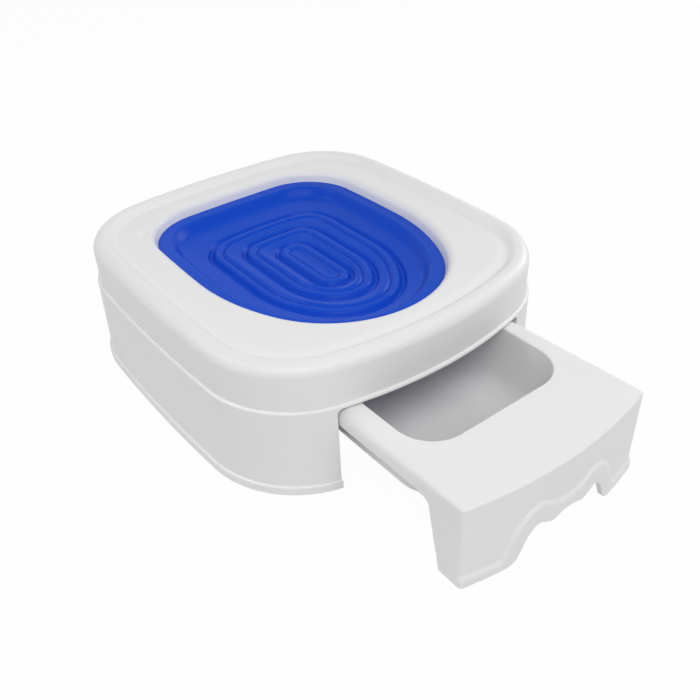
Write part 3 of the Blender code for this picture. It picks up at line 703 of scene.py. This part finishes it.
def bead_profile():
    """Valley, raised bead, seat and underside that end a tray or ring at its hole."""
    valley = BEAD_HEIGHT - BEAD_RISE
    half = BEAD_WIDTH / 2
    outer = (VALLEY_OUT + VALLEY_WIDTH / 2, valley + BEAD_RISE * PLATEAU_SHARE)
    under = RING_SEAT_HEIGHT - TRAY_WALL
    profile = [outer]
    profile += wave(outer, (VALLEY_OUT, valley), VALLEY_STEPS)
    profile += wave((VALLEY_OUT, valley), (BEAD_CREST_OUT, BEAD_HEIGHT), BEAD_STEPS)
    profile += [(-BEAD_CREST_IN, BEAD_HEIGHT)]
    profile += wave((-BEAD_CREST_IN, BEAD_HEIGHT), (-half, BEAD_HEIGHT - PARTING_DEPTH), PARTING_STEPS)
    profile += [
        (-half, RING_SEAT_HEIGHT),
        (-half - RING_SEAT_WIDTH, RING_SEAT_HEIGHT),
        (-half - RING_SEAT_WIDTH, under),
        (TRAY_WALL - half, under),
        (TRAY_WALL - half, BEAD_HEIGHT - TRAY_WALL),
        (BEAD_CREST_OUT + TRAY_WALL, valley - TRAY_WALL),
        (outer[0], valley - TRAY_WALL),
    ]
    return profile


def join_to_bead(moulding, hole):
    """Joins a tray or ring to the bead round its own hole, on top and underneath."""
    piece = join([moulding, sweep("bead", hole, bead_profile())])
    bridge_loops_between(piece, "top")
    bridge_loops_between(piece, "under")
    face_outwards(piece)
    soften_edges(piece, TRAY_SOFTENING)
    return piece


def make_tray(hole, ring_hole, material):
    """Flange in the cover's seat, dish wall, sloping floor and the bead round its hole."""
    flange_edge = -COLLAR_IN - FIT_GAP
    brink = flange_edge - FLANGE_WIDTH
    foot = brink - FLANGE_ROLL - DISH_WALL_RUN
    floor = TRAY_TOP - DISH_DEPTH
    dish = [
        (foot - DISH_FILLET, floor - TRAY_WALL),
        (foot, floor + DISH_FILLET / 2 - TRAY_WALL),
        (brink, TRAY_TOP - TRAY_WALL),
        (flange_edge, TRAY_TOP - TRAY_WALL),
        (flange_edge, TRAY_TOP),
        (brink + FLANGE_ROLL, TRAY_TOP),
    ]
    dish += wave((brink + FLANGE_ROLL, TRAY_TOP), (foot - DISH_FILLET, floor), DISH_STEPS)
    tray = join_to_bead(sweep("training_tray_moulding", hole, dish), ring_hole)
    finish_piece(tray, material, BODY_Y, "tray", "training_tray")


def turned_edge(crest):
    """The outer edge of a ring or the cap, from its parting groove up to its crest."""
    brink = (RING_EDGE, BEAD_HEIGHT - PARTING_DEPTH)
    return [brink] + wave(brink, (RING_EDGE - RING_EDGE_RUN, crest), PARTING_STEPS)


def make_ring(node, outer_hole, inner_hole, material):
    """A ring with a turned-down edge in the outer hole and a bead round the inner one."""
    crest = BEAD_HEIGHT - RING_LOW
    foot = RING_SEAT_HEIGHT + SEAT_GAP
    rim = [
        (RING_EDGE - RING_CREST_WIDTH, crest - TRAY_WALL),
        (RING_EDGE - TRAY_WALL, crest - TRAY_WALL),
        (RING_EDGE - TRAY_WALL, foot),
        (RING_EDGE, foot),
    ]
    rim += turned_edge(crest)
    rim += [(RING_EDGE - RING_CREST_WIDTH, crest)]
    ring = join_to_bead(sweep(f"{node}_moulding", outer_hole, rim), inner_hole)
    finish_piece(ring, material, BODY_Y, node, node)


def make_cap(hole, material):
    """The piece that closes the innermost hole, slightly dished."""
    crest = BEAD_HEIGHT - CAP_LOW
    under = RING_SEAT_HEIGHT + SEAT_GAP
    rim = [(RING_EDGE, under)] + turned_edge(crest)
    rim += wave(rim[-1], (rim[-1][0] - CAP_DISH_RUN, crest - CAP_DISH), CAP_DISH_STEPS)
    cap = sweep("centre_cap_moulding", hole, rim)
    close_ends(cap, (under + crest) / 2)
    face_outwards(cap)
    soften_edges(cap, TRAY_SOFTENING)
    finish_piece(cap, material, BODY_Y, "cap", "centre_cap")


class Column:
    """One upright line of the drawer's skin: where it stands and which way it faces."""

    def __init__(self, place, facing, on_front):
        self.place = Vector(place)
        self.facing = Vector(facing)
        self.on_front = on_front


def panel_column(centre, radius, angle):
    """A column of the front panel, on an arc."""
    facing = Vector((math.cos(angle), math.sin(angle)))
    return Column(centre + facing * radius, facing, True)


def half_columns(body):
    """Columns from the front middle round the right corner and along the side to the back middle."""
    centre = Vector(body.front_centre)
    reach = body.front_arc + WALL_PROUD
    corner_x = DRAWER_HALF_WIDTH - PANEL_CORNER_ROUND
    inner = reach - PANEL_CORNER_ROUND
    corner = Vector((corner_x, centre.y - math.sqrt(inner ** 2 - corner_x ** 2)))
    first = -math.pi / 2
    last = math.atan2(corner.y - centre.y, corner.x)
    columns = []
    for step in range(PANEL_COLUMNS):
        columns.append(panel_column(centre, reach, first + (last - first) * step / PANEL_COLUMNS))
    for step in range(PANEL_CORNER_COLUMNS + 1):
        columns.append(panel_column(corner, PANEL_CORNER_ROUND, last - last * step / PANEL_CORNER_COLUMNS))
    side_front = corner.y
    leg_end = side_front + LEG_TOP_DEPTH + 2 * LEG_FILLET
    back = DRAWER_BACK + OVERRUN
    places = spaced(side_front, leg_end, LEG_COLUMNS)
    places += spaced(leg_end, back - CLOSE_COLUMNS_START, SKIRT_COLUMNS)
    places += spaced(back - CLOSE_COLUMNS_START, back - CLOSE_COLUMNS_END, CLOSE_COLUMNS)
    for y in places:
        columns.append(Column((DRAWER_HALF_WIDTH, y), (1.0, 0.0), False))
    columns.append(Column((DRAWER_HALF_WIDTH, back), (1.0, 1.0), False))
    outer_x = corner_x * BACK_CORNER_SHARE
    for step in range(BACK_COLUMNS + 1):
        columns.append(Column((outer_x * (1 - step / BACK_COLUMNS), back), (0.0, 1.0), False))
    return columns, side_front


def all_columns(body):
    """Columns once round the drawer, and where its straight sides start."""
    half, side_front = half_columns(body)
    mirrored = []
    for column in reversed(half[1:-1]):
        place = (-column.place.x, column.place.y)
        facing = (-column.facing.x, column.facing.y)
        mirrored.append(Column(place, facing, column.on_front))
    return half + mirrored, side_front


def interpolate(line, x):
    """Height of a line of points at a given x, which rises along the line."""
    for (start, start_height), (end, end_height) in zip(line, line[1:]):
        if x <= end:
            rise = (end_height - start_height) * max(0.0, x - start)
            return start_height + rise / max(end - start, MERGE)
    return line[-1][1]


def leg_line(side_front):
    """The lower edge of the side from the leg's foot up to the skirt, as depths and heights."""
    skirt = DRAWER_HEIGHT - SKIRT_HEIGHT
    foot = Vector((side_front + LEG_FOOT_DEPTH, 0.0))
    top = Vector((side_front + LEG_TOP_DEPTH, skirt))
    up = (top - foot).normalized()
    turn = math.acos(up.x)
    back_off = LEG_FILLET * math.tan(turn / 2)
    centre = Vector((top.x + back_off, skirt - LEG_FILLET))
    start = math.degrees(math.atan2(-up.x, up.y)) + 180
    fillet = arc(centre, LEG_FILLET, start, 90)
    return [(side_front, 0.0), tuple(foot)] + fillet + [(DRAWER_BACK + 2 * OVERRUN, skirt)]


def apron_line():
    """The lower edge of the front panel, from its middle to its corner."""
    line = smooth_through([(x * APRON_HALF_WIDTH, z * APRON_HEIGHT) for x, z in APRON_SHARES])
    return line + [(DRAWER_HALF_WIDTH, 0.0)]


def border_line():
    """The upper edge of the raised border, which ends as a low band across the leg's foot."""
    band = FOOT_HEIGHT * BAND_SHARE
    line = smooth_through([(x * APRON_HALF_WIDTH, z * APRON_HEIGHT) for x, z in BORDER_SHARES])
    return line + [(APRON_HALF_WIDTH * BORDER_FOOT_SHARE, band), (DRAWER_HALF_WIDTH + OVERRUN, band)]


def lower_edge(column, apron, leg):
    """How high the skin's lower edge stands at a column."""
    if column.on_front:
        return max(0.0, interpolate(apron, abs(column.place.x)))
    if column.facing.y > 0.0:
        return DRAWER_HEIGHT - SKIRT_HEIGHT
    return interpolate(leg, column.place.y)


def edge_round(column, side_front):
    """Radius between the skin and the plate: tight along the front, growing along the sides."""
    if column.on_front:
        turned = smooth_step(math.atan2(column.facing.y, abs(column.facing.x)) / (math.pi / 2) + 1)
        return FRONT_EDGE_ROUND + (SIDE_ROUND_AT_CORNER - FRONT_EDGE_ROUND) * turned
    behind = max(0.0, min(1.0, (column.place.y - side_front) / SIDE_ROUND_RUN))
    return SIDE_ROUND_AT_CORNER + (SIDE_ROUND - SIDE_ROUND_AT_CORNER) * behind


def distance_inside(place, line):
    """Distance from a point to a line of points, positive below the line."""
    best = None
    for start, end in zip(line, line[1:]):
        start = Vector(start)
        span = Vector(end) - start
        share = max(0.0, min(1.0, (place - start).dot(span) / span.length_squared))
        away = place - (start + span * share)
        if best is None or away.length < best[0]:
            below = span.x * away.y - span.y * away.x < 0
            best = (away.length, below)
    return best[0] if best[1] else -best[0]


def border_push(x, z, border):
    """How far the raised border stands proud of the panel at a point."""
    inside = distance_inside(Vector((abs(x), z)), border)
    return BORDER_PROUD * smooth_step(0.5 + inside / BORDER_SLOPE)


def tub_spot(place, tub_front, tub_back):
    """The point of the tub's rounded edge nearest to a place on the plate, and its outward direction."""
    centre = Vector((0.0, (tub_front + tub_back) / 2))
    reach = Vector((DRAWER_HALF_WIDTH - TUB_SIDE_MARGIN, (tub_back - tub_front) / 2))
    away = place - centre
    core = Vector([
        max(TUB_RADIUS - half, min(half - TUB_RADIUS, along)) for half, along in zip(reach, away)])
    facing = (away - core).normalized()
    return centre + core + facing * TUB_RADIUS, facing


def make_drawer(body, material):
    """One moulding: plate, tub, side skirts, bowed front panel on two legs and scalloped apron."""
    columns, side_front = all_columns(body)
    apron = apron_line()
    border = border_line()
    leg = leg_line(side_front)
    tub_front = -BODY_FRONT - WALL_PROUD + TUB_FRONT_MARGIN
    tub_back = DRAWER_BACK - TUB_BACK_MARGIN
    lows = [lower_edge(column, apron, leg) for column in columns]
    rounds = [edge_round(column, side_front) for column in columns]
    brinks = [column.place - column.facing * radius for column, radius in zip(columns, rounds)]
    spots = [tub_spot(brink, tub_front, tub_back) for brink in brinks]

    def tub_ring(grow, height):
        """A ring round the tub's edge, grown outwards and at a height."""
        return [(*(spot + facing * grow), height) for spot, facing in spots]

    def inner_round(radius, depth):
        """Radius of the rounding at this depth in the skin."""
        return max(radius - depth, INNER_ROUND_LEAST)

    def skin_ring(depth, share):
        """A ring this deep in the skin: share 0 is its lower edge and 1 where the rounding starts."""
        ring = []
        for column, low, radius in zip(columns, lows, rounds):
            top = DRAWER_HEIGHT - depth - inner_round(radius, depth)
            z = low + (top - low) * share
            place = column.place - column.facing * depth
            if column.on_front and depth == 0.0:
                place = place - Vector((0.0, border_push(column.place.x, z, border)))
            ring.append((*place, z))
        return ring

    def round_ring(depth, angle):
        """A ring this deep in the rounding to the plate, angles from 0 at the skin to 90."""
        turn = math.radians(angle)
        ring = []
        for column, radius in zip(columns, rounds):
            inner = inner_round(radius, depth)
            place = column.place - column.facing * (depth + inner * (1 - math.cos(turn)))
            ring.append((*place, DRAWER_HEIGHT - depth - inner * (1 - math.sin(turn))))
        return ring

    lip_centre = (TUB_LIP_ROUND, DRAWER_HEIGHT - TUB_LIP_ROUND)
    floor_centre = (-TUB_DRAFT - TUB_FLOOR_ROUND, TUB_FLOOR + TUB_FLOOR_ROUND)
    cavity = arc(lip_centre, TUB_LIP_ROUND, 90, 180, TUB_LIP_STEPS)
    cavity += arc(floor_centre, TUB_FLOOR_ROUND, 0, -90, TUB_FLOOR_STEPS)
    shell = [(WALL, DRAWER_HEIGHT - WALL)]
    shell += arc(floor_centre, TUB_FLOOR_ROUND + WALL, 0, -90, TUB_UNDERSIDE_STEPS)
    rings = [tub_ring(grow, z) for grow, z in reversed(cavity)]
    rings += [round_ring(0.0, 90 - 90 * step / ROUND_STEPS) for step in range(ROUND_STEPS)]
    rings += [skin_ring(0.0, 1 - step / SKIN_ROWS) for step in range(SKIN_ROWS + 1)]
    rings += [skin_ring(WALL, step / INNER_SKIN_ROWS) for step in range(INNER_SKIN_ROWS)]
    rings += [round_ring(WALL, 90 * step / INNER_ROUND_ROWS) for step in range(INNER_ROUND_ROWS + 1)]
    rings += [tub_ring(grow, z) for grow, z in shell]

    drawer = loft("drawer_moulding", rings)
    face_outwards(drawer)
    behind = block(
        "behind", (-BODY_HALF_WIDTH, DRAWER_BACK, -OVERRUN),
        (BODY_HALF_WIDTH, DRAWER_BACK + 2 * OVERRUN, DRAWER_HEIGHT + OVERRUN))
    cut_or_join(drawer, behind, "DIFFERENCE")
    soften_edges(drawer, EDGE_SOFTENING)
    finish_piece(drawer, material, DRAWER_Y, "drawer", "drawer")


def loft(name, rings):
    """A closed skin through rings of equally many points, with a face over each end."""
    bm = bmesh.new()
    rows = [[bm.verts.new(point) for point in ring] for ring in rings]
    count = len(rows[0])
    for lower, upper in zip(rows, rows[1:]):
        for index in range(count):
            after = (index + 1) % count
            bm.faces.new((lower[index], lower[after], upper[after], upper[index]))
    bm.faces.new(rows[0])
    bm.faces.new(rows[-1])
    mesh = bpy.data.meshes.new(name)
    bm.to_mesh(mesh)
    bm.free()
    obj = bpy.data.objects.new(name, mesh)
    bpy.context.scene.collection.objects.link(obj)
    return obj


def moulded_surface():
    """The fine skin of injection-moulded plastic: faint grain, uneven gloss and slow tone changes."""
    group = bpy.data.node_groups.new("moulded_surface", "ShaderNodeTree")
    inputs = {
        "Colour": "NodeSocketColor",
        "Roughness": "NodeSocketFloat",
        "Roughness Spread": "NodeSocketFloat",
        "Tone Spread": "NodeSocketFloat",
        "Grain Size": "NodeSocketFloat",
        "Grain Depth": "NodeSocketFloat",
    }
    outputs = {"Colour": "NodeSocketColor", "Roughness": "NodeSocketFloat", "Normal": "NodeSocketVector"}
    for way, sockets in (("INPUT", inputs), ("OUTPUT", outputs)):
        for name, kind in sockets.items():
            group.interface.new_socket(name=name, in_out=way, socket_type=kind)
    nodes = group.nodes
    links = group.links
    start = nodes.new("NodeGroupInput")
    end = nodes.new("NodeGroupOutput")
    place = nodes.new("ShaderNodeTexCoord")

    def noise(detail):
        """Noise in the piece's own space."""
        node = nodes.new("ShaderNodeTexNoise")
        node.inputs["Detail"].default_value = detail
        links.new(place.outputs["Object"], node.inputs["Vector"])
        return node

    def around(value, middle, spread):
        """Middle plus a noise value, centred on zero, times a spread."""
        centred = nodes.new("ShaderNodeMath")
        centred.operation = "SUBTRACT"
        centred.inputs[1].default_value = NOISE_MIDDLE
        links.new(value, centred.inputs[0])
        scaled = nodes.new("ShaderNodeMath")
        scaled.operation = "MULTIPLY_ADD"
        links.new(centred.outputs[0], scaled.inputs[0])
        links.new(spread, scaled.inputs[1])
        if isinstance(middle, float):
            scaled.inputs[2].default_value = middle
        else:
            links.new(middle, scaled.inputs[2])
        return scaled.outputs[0]

    grain = noise(GRAIN_DETAIL)
    links.new(start.outputs["Grain Size"], grain.inputs["Scale"])
    patches = noise(SLOW_DETAIL)
    patches.inputs["Scale"].default_value = PATCH_SCALE
    tone = noise(SLOW_DETAIL)
    tone.inputs["Scale"].default_value = TONE_SCALE
    spread = start.outputs["Roughness Spread"]
    roughness = around(patches.outputs["Fac"], start.outputs["Roughness"], spread)
    links.new(roughness, end.inputs["Roughness"])
    tint = nodes.new("ShaderNodeHueSaturation")
    links.new(start.outputs["Colour"], tint.inputs["Color"])
    links.new(around(tone.outputs["Fac"], 1.0, start.outputs["Tone Spread"]), tint.inputs["Value"])
    links.new(tint.outputs["Color"], end.inputs["Colour"])
    bump = nodes.new("ShaderNodeBump")
    bump.inputs["Strength"].default_value = 1.0
    links.new(start.outputs["Grain Depth"], bump.inputs["Distance"])
    links.new(grain.outputs["Fac"], bump.inputs["Height"])
    links.new(bump.outputs["Normal"], end.inputs["Normal"])
    return group


def make_plastic(name, surface, look, shine):
    """A plastic whose colour, roughness and normal come from the moulded surface."""
    material = bpy.data.materials.new(name)
    material.use_nodes = True
    nodes = material.node_tree.nodes
    links = material.node_tree.links
    shader = nodes["Principled BSDF"]
    skin = nodes.new("ShaderNodeGroup")
    skin.node_tree = surface
    for socket, value in look.items():
        skin.inputs[socket].default_value = value
    for output, socket in (("Colour", "Base Color"), ("Roughness", "Roughness"), ("Normal", "Normal")):
        links.new(skin.outputs[output], shader.inputs[socket])
    shader.inputs["Specular IOR Level"].default_value = shine
    return material


def dress_guide_rails(material):
    """The rails stay as the frame gives them, in the white plastic."""
    for name in ("guide_rail_left", "guide_rail_right"):
        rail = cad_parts[name]
        rail.data.materials.clear()
        rail.data.materials.append(material)


def set_camera():
    """The photograph's camera, turned a little about its own line of sight."""
    roll = math.radians(CAMERA_ROLL)
    away = direction(CAMERA_AZIMUTH, CAMERA_ELEVATION)
    right = (-away).cross(Vector((0.0, 0.0, 1.0))).normalized()
    up = right.cross(-away)
    rolled_right = right * math.cos(roll) + up * math.sin(roll)
    rolled_up = up * math.cos(roll) - right * math.sin(roll)
    turn = Matrix((rolled_right, rolled_up, away)).transposed().to_4x4()
    data = bpy.data.cameras.new("photo_camera")
    data.lens = CAMERA_LENS
    data.clip_start = CAMERA_CLIP_START
    camera = bpy.data.objects.new("photo_camera", data)
    bpy.context.scene.collection.objects.link(camera)
    camera.matrix_world = Matrix.Translation(Vector(CAMERA_TARGET) + away * CAMERA_DISTANCE) @ turn
    bpy.context.scene.camera = camera


def seen_directly(tree):
    """1 for camera, mirrored and refracted rays, which see the plain background."""
    path = tree.nodes.new("ShaderNodeLightPath")
    value = path.outputs["Is Camera Ray"]
    for name in ("Is Glossy Ray", "Is Transmission Ray"):
        either = tree.nodes.new("ShaderNodeMath")
        either.operation = "MAXIMUM"
        tree.links.new(value, either.inputs[0])
        tree.links.new(path.outputs[name], either.inputs[1])
        value = either.outputs[0]
    return value


def set_world():
    """A little light from all round, and a plain white backdrop."""
    world = bpy.data.worlds.new("studio")
    bpy.context.scene.world = world
    world.use_nodes = True
    tree = world.node_tree
    tree.nodes.clear()
    lighting = tree.nodes.new("ShaderNodeBackground")
    lighting.inputs["Strength"].default_value = AMBIENT
    seen = tree.nodes.new("ShaderNodeBackground")
    seen.inputs["Strength"].default_value = BACKDROP_STRENGTH
    for node in (lighting, seen):
        node.inputs["Color"].default_value = (1.0, 1.0, 1.0, 1.0)
    mix = tree.nodes.new("ShaderNodeMixShader")
    out = tree.nodes.new("ShaderNodeOutputWorld")
    tree.links.new(seen_directly(tree), mix.inputs["Fac"])
    tree.links.new(lighting.outputs[0], mix.inputs[1])
    tree.links.new(seen.outputs[0], mix.inputs[2])
    tree.links.new(mix.outputs[0], out.inputs["Surface"])


def set_floor():
    """A floor that shows shadows and is otherwise almost as white as the backdrop."""
    deselect_all()
    bpy.ops.mesh.primitive_plane_add(size=FLOOR_SIZE)
    floor = bpy.context.object
    floor.name = "studio_floor"
    material = bpy.data.materials.new("studio_floor")
    material.use_nodes = True
    tree = material.node_tree
    tree.nodes.clear()
    paper = tree.nodes.new("ShaderNodeBsdfDiffuse")
    paper.inputs["Color"].default_value = FLOOR_WHITE
    white = tree.nodes.new("ShaderNodeEmission")
    share = tree.nodes.new("ShaderNodeMath")
    share.operation = "MULTIPLY"
    share.inputs[1].default_value = FLOOR_SHARE_OF_WHITE
    mix = tree.nodes.new("ShaderNodeMixShader")
    out = tree.nodes.new("ShaderNodeOutputMaterial")
    tree.links.new(seen_directly(tree), share.inputs[0])
    tree.links.new(share.outputs[0], mix.inputs["Fac"])
    tree.links.new(paper.outputs[0], mix.inputs[1])
    tree.links.new(white.outputs[0], mix.inputs[2])
    tree.links.new(mix.outputs[0], out.inputs["Surface"])
    floor.data.materials.append(material)


def soft_lamp(name, azimuth, elevation, power):
    """A round softbox aimed at the object."""
    away = direction(azimuth, elevation)
    bpy.ops.object.light_add(type="AREA", location=Vector(LAMP_AIM) + away * LAMP_DISTANCE)
    lamp = bpy.context.object
    lamp.name = name
    lamp.data.shape = "DISK"
    lamp.data.size = LAMP_SIZE
    lamp.data.energy = power
    lamp.rotation_euler = away.to_track_quat("Z", "Y").to_euler()


bpy.context.scene.view_settings.view_transform = "Standard"
set_camera()
set_world()
set_floor()
for lamp in LAMPS:
    soft_lamp(*lamp)

surface = moulded_surface()
white_plastic = make_plastic("white_plastic", surface, WHITE_LOOK, WHITE_SHINE)
blue_plastic = make_plastic("blue_plastic", surface, BLUE_LOOK, BLUE_SHINE)

body = Outline(
    BODY_HALF_WIDTH, BODY_FRONT, BODY_BACK, BODY_SIDE_BOW, BODY_FRONT_ARC, BODY_BACK_BOW,
    BODY_FRONT_RADIUS, BODY_BACK_RADIUS)
deck_hole = hole_outline((HOLE_HALF_WIDTH, HOLE_FRONT, HOLE_BACK), DECK_HOLE_SHARES)
tray_hole = hole_outline(TRAY_HOLE, RING_HOLE_SHARES)
outer_hole = hole_outline(OUTER_HOLE, RING_HOLE_SHARES)
middle_hole = hole_outline(MIDDLE_HOLE, SLOT_SHARES)

make_base(body, white_plastic)
make_cover(body, deck_hole, white_plastic)
make_tray(deck_hole, tray_hole, blue_plastic)
make_ring("outer_ring", tray_hole, outer_hole, blue_plastic)
make_ring("middle_ring", outer_hole, middle_hole, blue_plastic)
make_cap(middle_hole, blue_plastic)
make_drawer(body, white_plastic)
dress_guide_rails(white_plastic)
